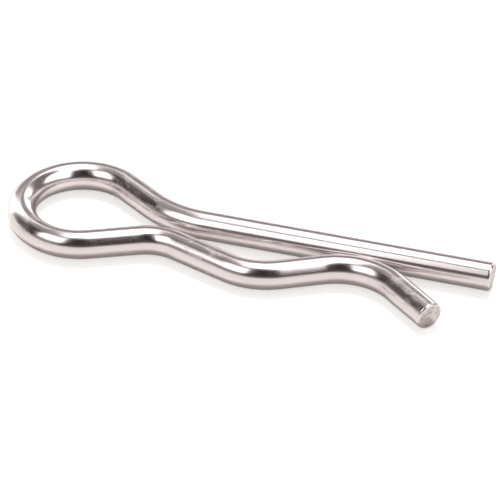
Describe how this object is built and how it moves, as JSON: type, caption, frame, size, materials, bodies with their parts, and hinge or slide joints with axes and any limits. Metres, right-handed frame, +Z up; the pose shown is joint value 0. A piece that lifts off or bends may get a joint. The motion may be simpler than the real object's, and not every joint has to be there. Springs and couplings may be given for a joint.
{
  "type": "hitch r clip pin",
  "caption": "R clip of round spring wire: a straight leg for a cross hole, a wavy sprung leg with a bow that hugs the shaft, and an eye to pull it by.",
  "frame": {"origin": "where the axis of the shaft that the clip locks crosses the axis of the straight leg, half way up the wire", "axes": "+X along the straight leg to its free end, +Z up, square to the plane of the clip and along the shaft, with the sprung leg at -Y"},
  "size_m": [0.0685, 0.0215, 0.004],
  "materials": {
    "plated_wire": "bright nickel-tone plate over drawn spring steel wire, mirror-like with fine scuffs"
  },
  "bodies": {
    "root": {"spring_wire": "plated_wire"}
  },
  "joints": []
}
